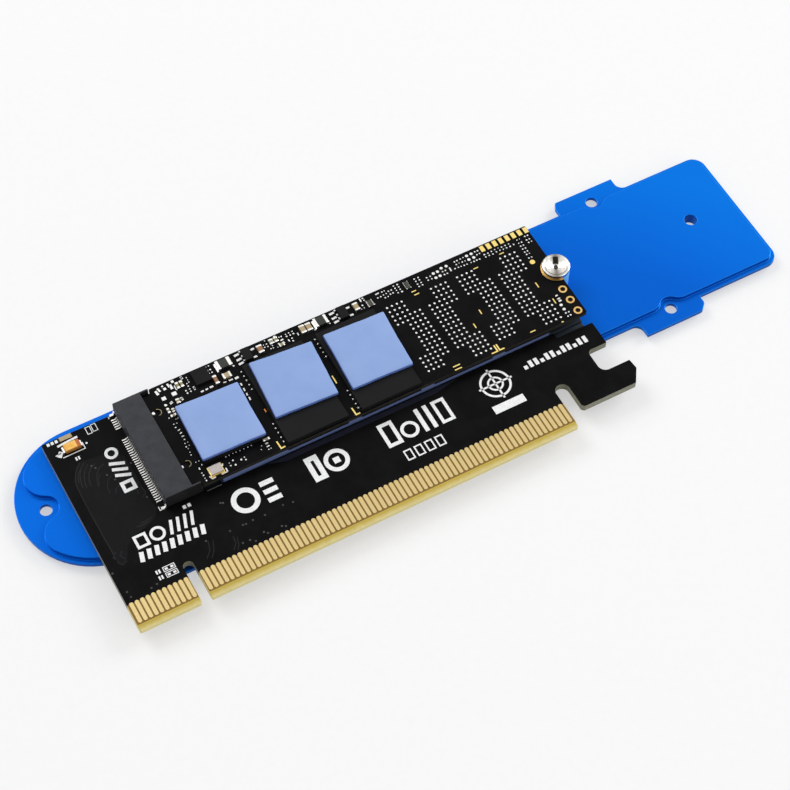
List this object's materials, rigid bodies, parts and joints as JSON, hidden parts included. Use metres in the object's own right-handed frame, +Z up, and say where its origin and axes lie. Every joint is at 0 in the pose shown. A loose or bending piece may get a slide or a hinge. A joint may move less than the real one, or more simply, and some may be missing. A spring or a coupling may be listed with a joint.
{
  "type": "nvme adapter card",
  "caption": "Expansion card adapter with an x16 card edge, an M.2 socket holding a storage module with thermal pads, and a blue heatsink plate underneath.",
  "frame": {"origin": "bottom centre of the whole card, on the underside of the heatsink plate's core", "axes": "+X along the card away from the bracket end, +Y away from the card edge, +Z up from the plate"},
  "size_m": [0.1468, 0.046, 0.0082],
  "materials": {
    "blue_anodised": "blue anodised, fine satin",
    "carrier_board": "black solder mask on glass fibre laminate",
    "gold_plating": "gold plating, soft sheen",
    "socket_plastic": "dark grey moulded plastic",
    "tin_plating": "tin plated contacts",
    "module_board": "black solder mask",
    "package_black": "black moulded package",
    "thermal_pad": "soft periwinkle blue silicone pad",
    "screw_steel": "nickel plated steel",
    "tantalum_orange": "orange moulded case",
    "crystal_lid": "metal lid",
    "ceramic_brown": "brown ceramic with tinned ends"
  },
  "bodies": {
    "root": {"heatsink_plate": "blue_anodised", "standoff": "blue_anodised", "carrier_board": "carrier_board", "edge_fingers_top": "gold_plating", "edge_fingers_back": "gold_plating", "board_bare_pad": "gold_plating", "m2_socket_housing": "socket_plastic", "socket_contacts_rear": "tin_plating", "socket_hold_downs": "tin_plating", "module_board": "module_board", "module_end_ring": "gold_plating", "module_hole_rings": "gold_plating", "module_test_pads": "gold_plating", "module_controller": "package_black", "memory_packages_lower": "package_black", "memory_package_a": "package_black", "memory_package_b": "package_black", "power_chip": "package_black", "power_inductors": "package_black", "thermal_pad_controller": "thermal_pad", "thermal_pad_memory_a": "thermal_pad", "thermal_pad_memory_b": "thermal_pad", "thermal_pad_lower": "thermal_pad", "retaining_screw": "screw_steel", "tantalum_body": "tantalum_orange", "tantalum_terminals": "tin_plating", "crystal_base": "gold_plating", "crystal_lid": "crystal_lid", "ceramic_capacitors": "ceramic_brown", "chip_resistors": "package_black"}
  },
  "joints": []
}
